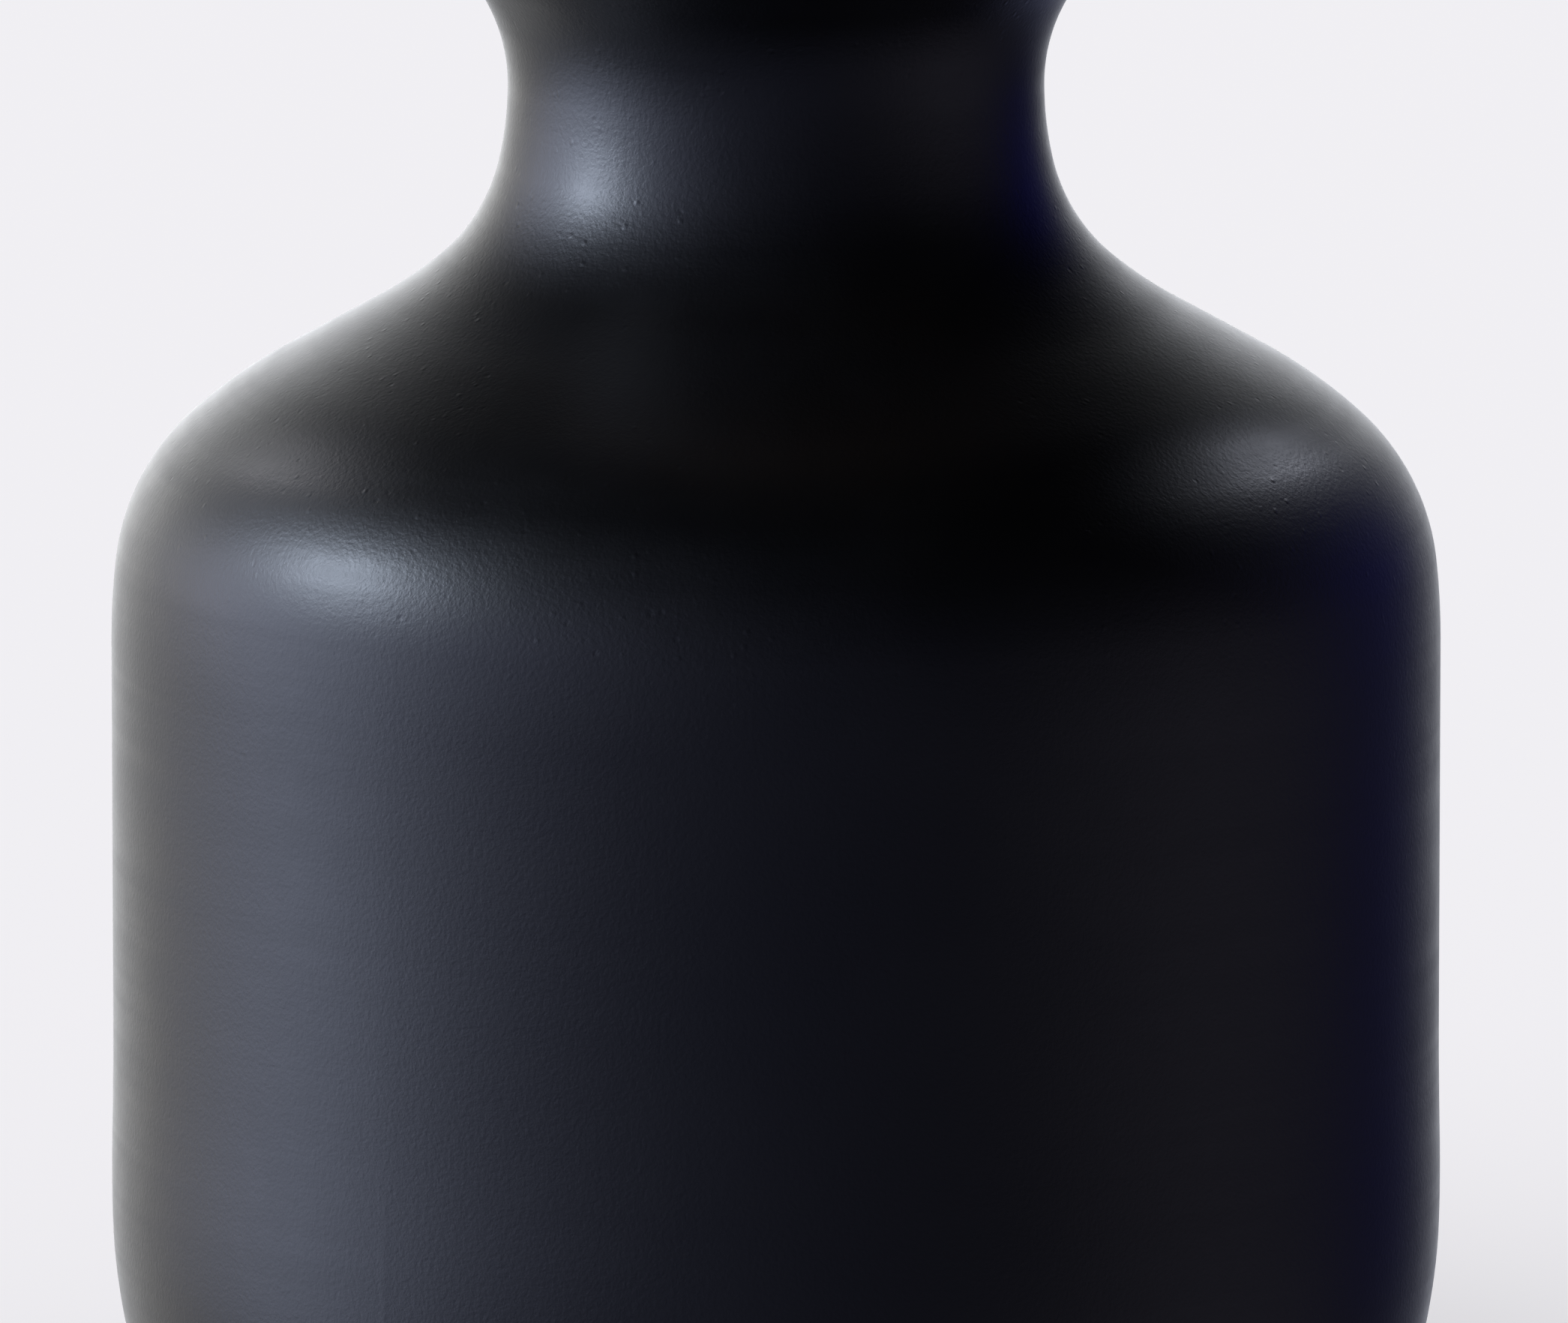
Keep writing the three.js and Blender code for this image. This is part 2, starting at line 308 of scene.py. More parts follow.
class Tree:
    """Adds nodes to one node tree. A value may be a number, a tuple or another node's output."""

    def __init__(self, tree):
        self.tree = tree

    def add(self, kind, inputs=None, **settings):
        node = self.tree.nodes.new(kind)
        for key, value in settings.items():
            setattr(node, key, value)
        for key, value in (inputs or {}).items():
            self.put(node.inputs[key], value)
        return node

    def put(self, socket, value):
        if isinstance(value, bpy.types.NodeSocket):
            self.tree.links.new(value, socket)
        else:
            socket.default_value = value

    def math(self, operation, a, b=0.0, c=0.0):
        return self.add("ShaderNodeMath", {0: a, 1: b, 2: c}, operation=operation).outputs[0]

    def noise(self, vector, scale, detail=2.0, roughness=0.5):
        values = {"Vector": vector, "Scale": scale, "Detail": detail, "Roughness": roughness}
        return self.add("ShaderNodeTexNoise", values).outputs["Fac"]

    def remap(self, value, low, high, to_low=0.0, to_high=1.0):
        values = {0: value, 1: low, 2: high, 3: to_low, 4: to_high}
        return self.add("ShaderNodeMapRange", values, interpolation_type="SMOOTHSTEP").outputs[0]

    def mix(self, factor, a, b):
        node = self.add("ShaderNodeMix", data_type="RGBA")
        self.put(node.inputs["Factor"], factor)
        self.put(node.inputs["A"], a)
        self.put(node.inputs["B"], b)
        return node.outputs["Result"]

    def stretched(self, vector, scale):
        node = self.add("ShaderNodeVectorMath", {0: vector, 1: scale}, operation="MULTIPLY")
        return node.outputs[0]

    def bump(self, height, distance, normal=None):
        node = self.add("ShaderNodeBump", {"Height": height, "Distance": distance, "Strength": 1.0})
        if normal is not None:
            self.put(node.inputs["Normal"], normal)
        return node.outputs[0]


def new_material(name, **sockets):
    """A material with one Principled shader. Uniform values are given by socket name, with _ for a space."""
    made = bpy.data.materials.new(name)
    made.use_nodes = True
    shader = made.node_tree.nodes["Principled BSDF"]
    for key, value in sockets.items():
        shader.inputs[key.replace("_", " ")].default_value = value
    tree = Tree(made.node_tree)
    place = tree.add("ShaderNodeTexCoord").outputs["Object"]
    return made, shader, tree, place


def split(tree, vector):
    return tree.add("ShaderNodeSeparateXYZ", {0: vector}).outputs


def distance_from_axis(tree, vector):
    flat = tree.stretched(vector, (1, 1, 0))
    return tree.add("ShaderNodeVectorMath", {0: flat}, operation="LENGTH").outputs["Value"]


def turned_marks(tree, place, spacing):
    """Fine concentric waves round the axis, as a tool leaves them."""
    return tree.math("SINE", tree.math("MULTIPLY", distance_from_axis(tree, place), 2 * math.pi / spacing))


# ---- materials -------------------------------------------------------------------------------------------


def dust_nibs(tree, place):
    """A mask of a few small round specks."""
    scale, solid, edge = NIB_CELLS
    cells = tree.add("ShaderNodeTexVoronoi", {"Vector": place, "Scale": scale}).outputs
    pick = split(tree, cells["Color"])[0]
    near = tree.remap(cells["Distance"], solid, edge, 1, 0)
    return tree.math("MULTIPLY", near, tree.math("GREATER_THAN", pick, NIB_SHARE))


def pimples(tree, place):
    """Heights of small round bumps and dents, in clusters, and weaker below the shoulder."""
    scale, radius = PIMPLE_CELLS
    cells = tree.add("ShaderNodeTexVoronoi", {"Vector": place, "Scale": scale}).outputs
    chance = split(tree, cells["Color"])
    dome = tree.remap(cells["Distance"], 0, radius, 1, 0)
    picked = tree.math("GREATER_THAN", chance[0], PIMPLE_SHARE)
    up_or_down = tree.remap(chance[1], *PIMPLE_SIGN, -1, 1)
    cluster_scale, outside, within = PIMPLE_CLUSTERS
    clusters = tree.remap(tree.noise(place, cluster_scale, 1), outside, within)
    low, high, weakest = PIMPLE_HEIGHTS
    clusters = tree.math("MULTIPLY", clusters, tree.remap(split(tree, place)[2], low, high, weakest, 1))
    domes = tree.math("MULTIPLY", tree.math("MULTIPLY", dome, picked), clusters)
    return tree.math("MULTIPLY", domes, up_or_down)


def coat_material():
    """Satin black spray coat: fine orange peel, a little uneven gloss, faint drag streaks and a few nibs."""
    made, shader, tree, place = new_material("satin_black_coat", IOR=1.5)
    patches = tree.noise(place, GLOSS_PATCHES, 3)
    cloud = tree.noise(place, GLOSS_CLOUD, 3, 0.6)
    streaks = tree.noise(tree.stretched(place, DRAG_STREAKS), 1, 3, 0.6)
    nibs = dust_nibs(tree, place)

    tint = tree.mix(tree.remap(patches, 0.35, 0.65), COAT_DARK, COAT_LIGHT)
    tree.put(shader.inputs["Base Color"], tree.mix(nibs, tint, NIB_COLOUR))

    uneven = tree.math("ADD", patches, tree.math("MULTIPLY", cloud, 0.5))
    gloss = tree.remap(uneven, 0.5, 1, *COAT_ROUGHNESS)
    gloss = tree.math("ADD", gloss, tree.remap(streaks, *NOISE_RANGE, -STREAK_GLOSS, STREAK_GLOSS))
    tree.put(shader.inputs["Roughness"], gloss)

    relief = tree.bump(tree.noise(place, PEEL[0], 2, 0.55), PEEL[1])
    relief = tree.bump(tree.noise(place, FINE_PEEL[0], 1), FINE_PEEL[1], relief)
    relief = tree.bump(streaks, STREAK_DEPTH, relief)
    relief = tree.bump(pimples(tree, place), PIMPLE_DEPTH, relief)
    relief = tree.bump(nibs, NIB_DEPTH, relief)
    tree.put(shader.inputs["Normal"], relief)
    return made


def glass_material():
    """The uncoated inside: nearly black glass, glossy, with the slow waviness of a pressed surface."""
    made, shader, tree, place = new_material("bare_dark_glass", IOR=1.52)
    dark, light = (0.004, 0.004, 0.006, 1), (0.009, 0.009, 0.012, 1)
    tree.put(shader.inputs["Base Color"], tree.mix(tree.noise(place, 30, 2), dark, light))
    film = tree.noise(place, 160, 4, 0.65)
    tree.put(shader.inputs["Roughness"], tree.remap(film, 0.35, 0.7, 0.10, 0.20))
    waves = tree.noise(place, 90, 1, 0.4)
    tree.put(shader.inputs["Normal"], tree.bump(waves, 0.05 * MM))
    return made


def along_fibres(axis, across, along):
    """Three scales, with the second value on the axis that the fibres follow."""
    scales = [across, across, across]
    scales[axis] = along
    return tuple(scales)


def growth_rings(tree, moved, axis):
    """How dark the late wood is, from 0 to 1: uneven rings round a pith that lies along the fibres."""
    space = tree.stretched(moved, along_fibres(axis, 1, WOOD_STRETCH))
    warp = tree.noise(space, WOOD_WARP_SCALE, 3, 0.5)
    x, y, z = split(tree, space)[:3]
    across = {0: (y, z), 2: (x, y)}[axis]
    ring_x = tree.math("ADD", across[0], tree.math("MULTIPLY", warp, WOOD_WARP[0]))
    ring_y = tree.math("ADD", across[1], tree.math("MULTIPLY", warp, WOOD_WARP[1]))
    square = tree.math("ADD", tree.math("POWER", ring_x, 2), tree.math("POWER", ring_y, 2))
    phase = tree.math("FRACT", tree.math("MULTIPLY", tree.math("SQRT", square), WOOD_RINGS))
    return tree.math("MULTIPLY", tree.remap(phase, 0.35, 0.92), tree.remap(phase, 1, 0.93))


def wood_material(name, axis, offset):
    """Turned and oiled wood. Its fibres follow the axis, which is 0 for X or 2 for Z, and offset is where in
    the trunk the piece was cut."""
    made, shader, tree, place = new_material(name, IOR=1.48)
    moved = tree.add("ShaderNodeVectorMath", {0: place, 1: offset}, operation="ADD").outputs[0]
    late = growth_rings(tree, moved, axis)
    fibres = tree.noise(tree.stretched(moved, along_fibres(axis, *FIBRES)), 1, 4, 0.65)
    pores = tree.noise(tree.stretched(moved, along_fibres(axis, *PORES)), 1, 2, 0.5)
    pores = tree.remap(pores, 0.60, 0.72)
    blotch = tree.noise(place, BLOTCHES, 2)

    darker = tuple(WOOD_DARKER * c for c in WOOD_DEEP[:3]) + (1,)
    colour = tree.mix(tree.math("MULTIPLY", late, LATE_WOOD), WOOD_PALE, WOOD_DEEP)
    colour = tree.mix(tree.remap(fibres, 0.38, 0.72, 0, FIBRE_TINT), colour, WOOD_DEEP)
    colour = tree.mix(tree.math("MULTIPLY", pores, PORE_TINT), colour, darker)
    colour = tree.mix(tree.remap(blotch, *NOISE_RANGE, 0, BLOTCH_TINT), colour, darker)
    tree.put(shader.inputs["Base Color"], colour)

    rough = tree.remap(fibres, *NOISE_RANGE, *WOOD_ROUGHNESS)
    rough = tree.math("ADD", rough, tree.math("MULTIPLY", pores, PORE_ROUGHNESS))
    tree.put(shader.inputs["Roughness"], rough)

    relief = tree.bump(turned_marks(tree, place, LATHE_MARKS[0]), LATHE_MARKS[1])
    relief = tree.bump(fibres, FIBRE_DEPTH, relief)
    relief = tree.bump(pores, -PORE_DEPTH, relief)
    tree.put(shader.inputs["Normal"], relief)
    return made


def silicone_material():
    """Milky silicone rubber with a slightly dusty, soft surface."""
    sockets = {"IOR": 1.41, "Subsurface_Weight": 0.35, "Subsurface_Scale": 0.002}
    made, shader, tree, place = new_material("milky_silicone", **sockets)
    cloud = tree.noise(place, 260, 3)
    grey, pale = (0.56, 0.57, 0.54, 1), (0.68, 0.68, 0.65, 1)
    tree.put(shader.inputs["Base Color"], tree.mix(cloud, grey, pale))
    tree.put(shader.inputs["Roughness"], tree.remap(cloud, *NOISE_RANGE, 0.34, 0.50))
    tree.put(shader.inputs["Normal"], tree.bump(tree.noise(place, 1500, 2), 0.006 * MM))
    return made


def steel_material():
    """Bright zinc plate over turned steel: concentric tool marks and a patchy gloss."""
    made, shader, tree, place = new_material("zinc_plated_steel", Metallic=1.0)
    patches = tree.noise(place, 700, 3, 0.6)
    dull, bright = (0.56, 0.57, 0.58, 1), (0.70, 0.70, 0.69, 1)
    tree.put(shader.inputs["Base Color"], tree.mix(patches, dull, bright))
    tree.put(shader.inputs["Roughness"], tree.remap(patches, *NOISE_RANGE, 0.22, 0.38))
    relief = tree.bump(turned_marks(tree, place, TOOL_MARKS[0]), TOOL_MARKS[1])
    tree.put(shader.inputs["Normal"], tree.bump(patches, 0.008 * MM, relief))
    return made


def rubber_material():
    """Matte black rubber with a fine stipple and a little dust."""
    made, shader, tree, place = new_material("matte_black_rubber", IOR=1.5)
    dust = tree.noise(place, 900, 4, 0.7)
    black, dusty = (0.022, 0.022, 0.023, 1), (0.060, 0.058, 0.056, 1)
    tree.put(shader.inputs["Base Color"], tree.mix(tree.remap(dust, 0.5, 0.8), black, dusty))
    tree.put(shader.inputs["Roughness"], tree.remap(dust, *NOISE_RANGE, 0.62, 0.82))
    tree.put(shader.inputs["Normal"], tree.bump(tree.noise(place, 3200, 2), 0.012 * MM))
    return made


def adhesive_material():
    """The thin acrylic layer between a pad and the glass."""
    made, shader, tree, place = new_material("clear_adhesive", IOR=1.47)
    cloud = tree.noise(place, 1100, 2)
    dark, light = (0.10, 0.10, 0.10, 1), (0.16, 0.16, 0.155, 1)
    tree.put(shader.inputs["Base Color"], tree.mix(cloud, dark, light))
    tree.put(shader.inputs["Roughness"], tree.remap(cloud, *NOISE_RANGE, 0.25, 0.42))
    tree.put(shader.inputs["Normal"], tree.bump(cloud, 0.01 * MM))
    return made


# ---- vessel ----------------------------------------------------------------------------------------------


def wall_outline(inset, floor_z, step):
    """The wall's outline at a distance inside the outer face, from the flat floor up to the flare's end, with
    its arcs in steps of that many degrees."""
    sweep_radius = SWEEP[0] * MM - inset
    corner_turn = 90 - SWEEP[1]
    corner_top = WALL_START - sweep_radius * math.sin(math.radians(SWEEP[1]))
    corner_radius = (corner_top - floor_z) / (1 - math.cos(math.radians(corner_turn)))
    sweep_width = sweep_radius * (1 - math.cos(math.radians(SWEEP[1])))
    flat_radius = BODY_RADIUS - inset - sweep_width - corner_radius * math.sin(math.radians(corner_turn))
    pen = Pen(flat_radius, floor_z).arc(corner_radius, corner_turn, 2 * step)
    pen.arc(sweep_radius, SWEEP[1], step).line(WALL_HEIGHT, 0.4 * step * MM)
    for radius, turn in SHOULDER:
        pen.arc(radius * MM - inset, turn, step)
    pen.line(SLOPE_LENGTH)
    for radius, turn in NECK:
        pen.arc(radius * MM + inset, turn, step)
    return pen.arc(FLARE[0] * MM + inset, FLARE[1], step).line(FLARE_LENGTH)


def seam_ridge(angle):
    """How far an angle is up either of the two opposite seams, from 0 to 1."""
    off = (angle - SEAM_ANGLE + math.pi / 2) % math.pi - math.pi / 2
    return math.exp(-(off * BODY_RADIUS / SEAM_WIDTH) ** 2)


def vessel_angles():
    """Even columns, with finer ones across the seams."""
    angles = even_angles(VESSEL_COLUMNS)
    reach = 2 * SEAM_WIDTH / BODY_RADIUS
    for side in (0, math.pi):
        middle = SEAM_ANGLE + side
        angles += [(middle + reach * step / 3) % (2 * math.pi) for step in range(-3, 4)]
    return sorted(angles)


def vessel_outline():
    """The closed half section from the punt over the outer face and the lip, then down the inside to the
    floor. With it come three indices: of the first outer point, of the one after the last, and of the first
    point of the bare inside."""
    base_z = VESSEL_BOX[0].z
    floor_z = base_z + FLOOR_THICKNESS
    outer = wall_outline(0, base_z, OUTER_STEP)
    inner = wall_outline(WALL, floor_z, INNER_STEP)
    lip = Pen(outer.r, outer.z, 90 + FLARE[1]).arc(WALL / 2, 180, 12)
    foot_radius = outer.points[0][0]
    bend_radius, bend_height = PUNT_RADIUS * PUNT_BEND[0], PUNT_DEPTH * PUNT_BEND[1]
    punt = Pen(0, base_z + PUNT_DEPTH).to(bend_radius, base_z + bend_height, 2 * MM)
    punt.soft_corner(PUNT_RADIUS, base_z, foot_radius, base_z, PUNT_EDGE)
    punt.to(foot_radius, base_z, 2 * MM)
    floor_face = Pen(*inner.points[0]).to(0, floor_z, 2 * MM)
    first_outer = len(punt.points) - 1
    last_outer = first_outer + len(outer.points)
    inside = last_outer + len(lip.points) - 2
    below = punt.points[:-1] + outer.points + lip.points[1:-1]
    return below + inner.points[::-1] + floor_face.points[1:], first_outer, last_outer, inside


def swelling(z):
    """How far moulding pushed the straight wall out at a height: one slow swelling and a few faint rings."""
    bulge_z, bulge_spread, bulge_size = BULGE
    ring_spread, ring_size = CHILL_RING_SIZE
    rings = sum(math.exp(-((z - at) / ring_spread) ** 2) for at in CHILL_RINGS)
    return bulge_size * math.exp(-((z - bulge_z) / bulge_spread) ** 2) + ring_size * rings


def vessel():
    """The jar's body, with the marks that moulding leaves on its outer face."""
    outline, first_outer, last_outer, inside = vessel_outline()
    outer_points = set(outline[first_outer:last_outer])
    angles = vessel_angles()
    ridge = {angle: SEAM_HEIGHT * seam_ridge(angle) for angle in angles}

    def moulded(r, z, angle):
        if (r, z) not in outer_points:
            return r, z
        oval = OUT_OF_ROUND * math.sin(2 * angle + OVAL_TWIST * z) * r / BODY_RADIUS
        swell = swelling(z) if r > SWELLS_BEYOND * BODY_RADIUS else 0
        seam = ridge[angle] * min(1, max(0, (SEAM_FADE[1] - z) / (SEAM_FADE[1] - SEAM_FADE[0])))
        return r + swell + oval + seam, z

    piece = revolve("jar_vessel", outline, angles, moulded)
    piece.data.materials.append(coat_material())
    piece.data.materials.append(glass_material())
    for polygon in piece.data.polygons[len(angles) * inside:]:
        polygon.material_index = 1
    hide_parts("vessel")
    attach(piece, "vessel")
    return piece


# ---- bumper pads -----------------------------------------------------------------------------------------


def pad(node, rubber, adhesive):
    """A moulded pad with a soft lower edge and a dished face, on its adhesive layer."""
    low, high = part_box(node)
    radius, height = (high.x - low.x) / 2, high.z - low.z
    glue_top = VESSEL_BOX[0].z
    top_radius = radius - PAD_TAPER
    glue_radius = top_radius - GLUE_MARGIN
    pen = Pen(0, PAD_DISH[0]).to(radius * PAD_DISH_ENDS[0], PAD_DISH[1], 0.5 * MM)
    pen.to(radius * PAD_DISH_ENDS[1], 0, 0.5 * MM)
    pen.soft_corner(radius, 0, top_radius, height, PAD_EDGE)
    pen.to(top_radius, height, 0.4 * MM)
    glue_start = len(pen.points) - 1
    pen.to(glue_radius, height, 0.4 * MM).to(glue_radius, glue_top, 0.4 * MM)
    pen.to(0, glue_top, 0.8 * MM)
    piece = revolve(node + "_visual", pen.points, even_angles(PAD_COLUMNS))
    piece.location = ((low.x + high.x) / 2, (low.y + high.y) / 2, 0)
    piece.data.materials.append(rubber)
    piece.data.materials.append(adhesive)
    for polygon in piece.data.polygons[PAD_COLUMNS * glue_start:]:
        polygon.material_index = 1
    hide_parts(node)
    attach(piece, "vessel")


def pads():
    """Every bumper pad of the frame."""
    rubber, adhesive = rubber_material(), adhesive_material()
    for node in sorted(n for n in frame["nodes"] if n.startswith("foot_pad_")):
        pad(node, rubber, adhesive)


# ---- lid, knob and seals ---------------------------------------------------------------------------------


def seal_middle(node):
    """The height of the middle of a seal ring's band. The band's lower face is the ring's lowest point."""
    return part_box(node)[0].z + SEAL_BAND / 2


def lid(wood):
    """Disc, tapered shoulder and grooved plug, with the screw's bore and the counterbore for its head."""
    low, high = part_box("lid")
    radius, plug_z, top = high.x, low.z, high.z
    disc_z = top - DISC_THICKNESS
    groove_radius = PLUG_RADIUS - GROOVE_DEPTH
    bore_floor = plug_z + COUNTERBORE[1]
    edge = TURNED_EDGE
    pen = Pen(COUNTERBORE[0] + edge, plug_z)
    pen.soft_corner(PLUG_RADIUS - PLUG_CHAMFER, plug_z, PLUG_RADIUS, plug_z + PLUG_CHAMFER, edge)
    pen.soft_corner(PLUG_RADIUS, plug_z + PLUG_CHAMFER, PLUG_RADIUS, disc_z, edge)
    for node in ("seal_ring_lower", "seal_ring_upper"):
        bottom = seal_middle(node) - GROOVE_WIDTH / 2
        roof = bottom + GROOVE_WIDTH
        pen.soft_corner(PLUG_RADIUS, bottom, groove_radius, bottom, edge / 2)
        pen.soft_corner(groove_radius, bottom, groove_radius, roof, edge / 2)
        pen.soft_corner(groove_radius, roof, PLUG_RADIUS, roof, edge / 2)
        pen.soft_corner(PLUG_RADIUS, roof, PLUG_RADIUS, disc_z, edge / 2)
    taper_z = disc_z - TAPER[1]
    pen.soft_corner(PLUG_RADIUS, taper_z, TAPER[0], disc_z, TAPER_BENDS[0])
    pen.soft_corner(TAPER[0], disc_z, radius, disc_z, TAPER_BENDS[1])
    pen.to(radius - LID_EDGE / 2, disc_z)
    pen.heading = 0
    pen.arc(LID_EDGE / 2, 90, 10)
    pen.to(radius, top - LID_EDGE)
    pen.arc(LID_EDGE, 90, 8)
    pen.soft_corner(LID_BORE, top, LID_BORE, bore_floor, edge)
    pen.soft_corner(LID_BORE, bore_floor, COUNTERBORE[0], bore_floor, edge / 2)
    pen.soft_corner(COUNTERBORE[0], bore_floor, COUNTERBORE[0], plug_z, edge / 2)
    pen.to(COUNTERBORE[0], plug_z + edge)
    piece = revolve("lid_turned", pen.points, even_angles(LID_COLUMNS), loop=True)
    piece.data.materials.append(wood)
    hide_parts("lid")
    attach(piece, "lid")


def knob(wood):
    """A ball on a conical foot, with a blind hole for the screw."""
    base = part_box("knob")[0].z
    undercut = math.radians(KNOB_UNDERCUT)
    stem = KNOB_BALL * math.sin(undercut)
    foot_radius, foot_top = KNOB_FOOT[0], base + KNOB_FOOT[1]
    cone_top = foot_top + (foot_radius - stem) * math.tan(undercut)
    bore_top = base + KNOB_BORE[1]
    pen = Pen(0, bore_top).to(KNOB_BORE[0], bore_top).to(KNOB_BORE[0], base)
    pen.soft_corner(foot_radius, base, foot_radius, foot_top, KNOB_EDGE)
    pen.soft_corner(foot_radius, foot_top, stem, cone_top, KNOB_EDGE)
    pen.to(stem, cone_top)
    pen.arc(KNOB_HOLLOW, 2 * KNOB_UNDERCUT - 180, 8)
    pen.arc(KNOB_BALL, 180 - KNOB_UNDERCUT, 4)
    pen.points[-1] = (0, pen.z)
    piece = revolve("knob_turned", pen.points, even_angles(KNOB_COLUMNS))
    piece.data.materials.append(wood)
    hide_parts("knob")
    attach(piece, "lid")


def seal(node, silicone):
    """A band with one thin fin whose edge is rounded and lies higher than its root."""
    middle, reach = seal_middle(node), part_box(node)[1].x
    inner = PLUG_RADIUS - GROOVE_DEPTH + SEAL_CLEARANCE
    outer = PLUG_RADIUS
    half, fin = SEAL_BAND / 2, SEAL_FIN / 2
    edge = SEAL_EDGE
    pen = Pen(inner + edge, middle - half)
    pen.soft_corner(outer, middle - half, outer, middle - fin, edge)
    pen.soft_corner(outer, middle - fin, reach, middle + SEAL_RISE - fin, edge)
    pen.soft_corner(reach, middle + SEAL_RISE - fin, reach, middle + SEAL_RISE, edge)
    pen.soft_corner(reach, middle + SEAL_RISE, outer, middle + fin, edge)
    pen.soft_corner(outer, middle + fin, outer, middle + half, edge)
    pen.soft_corner(outer, middle + half, inner, middle + half, edge)
    pen.soft_corner(inner, middle + half, inner, middle - half, edge)
    pen.soft_corner(inner, middle - half, inner + edge, middle - half, edge / 2)
    piece = revolve(node + "_soft", pen.points, even_angles(SEAL_COLUMNS), loop=True)
    piece.data.materials.append(silicone)
    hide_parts(node)
    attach(piece, "seals")


# ---- washer and screw ------------------------------------------------------------------------------------


def washer(steel):
    """Stamped, so its upper edge is rounded and its lower edge is crisp."""
    low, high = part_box("knob_washer")
    radius, bore = high.x, WASHER_BORE
    lower_edge, upper_edge, bore_edge = WASHER_EDGES
    burr = 0.05 * MM
    pen = Pen(bore + burr, low.z)
    pen.soft_corner(radius, low.z, radius, high.z, lower_edge)
    pen.soft_corner(radius, high.z, bore, high.z, upper_edge)
    pen.soft_corner(bore, high.z, bore, low.z, bore_edge)
    pen.to(bore, low.z + burr)
    piece = revolve("knob_washer_stamped", pen.points, even_angles(WASHER_COLUMNS), loop=True)
    piece.data.materials.append(steel)
    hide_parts("knob_washer")
    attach(piece, "lid")


def screw_outline(bottom, top, thread_start):
    """Half section of the blank that the thread is rolled into, from the head's middle up to the point."""
    head_radius, head_height = SCREW_HEAD
    head_top = bottom + head_height
    shoulder, rim, neck = SCREW_EDGES
    pen = Pen(0, bottom).to(head_radius * SCREW_HEAD_FLAT, bottom, 0.5 * MM)
    pen.soft_corner(head_radius, bottom + head_height * SCREW_HEAD_SIDE, head_radius, head_top, shoulder)
    pen.soft_corner(head_radius, head_top, SCREW_SHANK, head_top, rim)
    pen.soft_corner(SCREW_SHANK, head_top, SCREW_SHANK, thread_start, neck)
    pen.to(SCREW_SHANK, thread_start)
    pen.to(SCREW_SHANK, top - SCREW_POINT, THREAD_STEP)
    pen.to(3 * SCREW_TIP, top - SCREW_TIP, THREAD_STEP)
    return pen.points + [(0, top)]


def screw(steel):
    """Pan head downwards with a cross recess, then a plain shank and a helical thread to the point."""
    low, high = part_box("knob_screw")
    thread_start = high.z - SCREW_POINT - SCREW_THREADS * SCREW_PITCH

    def threaded(r, z, angle):
        if z <= thread_start:
            return r, z
        run_in = min(1, (z - thread_start) / SCREW_PITCH)
        turn = (z / SCREW_PITCH - angle / (2 * math.pi)) % 1
        crest = max(0, 1 - abs(turn - 0.5) / SCREW_FLANK)
        depth = (SCREW_SHANK - SCREW_ROOT) * run_in * (1 - crest)
        return max(SCREW_TIP, r - depth * r / SCREW_SHANK), z

    outline = screw_outline(low.z, high.z, thread_start)
    piece = revolve("knob_screw_threaded", outline, even_angles(SCREW_COLUMNS), threaded)
    length, width, depth = RECESS
    for turn in (0, math.pi / 2):
        apply_boolean(piece, recess_bar(length, width, low.z - 0.1 * MM, low.z + depth, turn))
    piece.data.materials.clear()
    piece.data.materials.append(steel)
    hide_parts("knob_screw")
    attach(piece, "lid")


def recess_bar(length, width, bottom, top, turn):
    """One of the two bars of the driver's cross, narrowing upwards into the head."""
    mesh = bpy.data.meshes.new("recess_bar")
    corners = [(-1, -1), (1, -1), (1, 1), (-1, 1)]
    verts = [(x * length / 2, y * width / 2, bottom) for x, y in corners]
    verts += [(x * length / 2 * RECESS_TAPER[0], y * width / 2 * RECESS_TAPER[1], top) for x, y in corners]
    sides = [(i, (i + 1) % 4, 4 + (i + 1) % 4, 4 + i) for i in range(4)]
    mesh.from_pydata(verts, [], [(3, 2, 1, 0), (4, 5, 6, 7), *sides])
    mesh.transform(Matrix.Rotation(turn, 4, "Z"))
    bar = bpy.data.objects.new("recess_bar", mesh)
    bpy.context.scene.collection.objects.link(bar)
    return bar


# ---- studio ----------------------------------------------------------------------------------------------

PAPER = (0.871, 0.863, 0.887, 1)    # the pale sweep's colour as the camera sees it
AMBIENT = 0.72                      # even light on matt surfaces, as a share of that colour
SELF_LIT = 0.510                    # the floor's own glow, as a share of it, so that shadows stay soft
FLOOR_ALBEDO = 0.55                 # how much of the light on it the floor gives back, as a share of it
FLOOR_REACH = 30                    # metres from the jar to the floor's edges
LENS, SENSOR = 396.6, 36            # millimetres
CAMERA_TARGET = (0.0006, 0, 0.0649)
CAMERA_DISTANCE = 1.3
CAMERA_ELEVATION = 10               # degrees
CAMERA_REACH = 20                   # metres
SUN_FROM = (35, 51)                 # azimuth and elevation in degrees
SUN_WIDTH = 42                      # degrees
SUN_STRENGTH = 1.1


def direction(azimuth, elevation):
    """Unit vector for an azimuth and an elevation in degrees. Azimuth 0 is towards the camera, and positive
    azimuths are to the camera's left."""
    a, e = math.radians(azimuth), math.radians(elevation)
    return Vector((-math.sin(a) * math.cos(e), -math.cos(a) * math.cos(e), math.sin(e)))


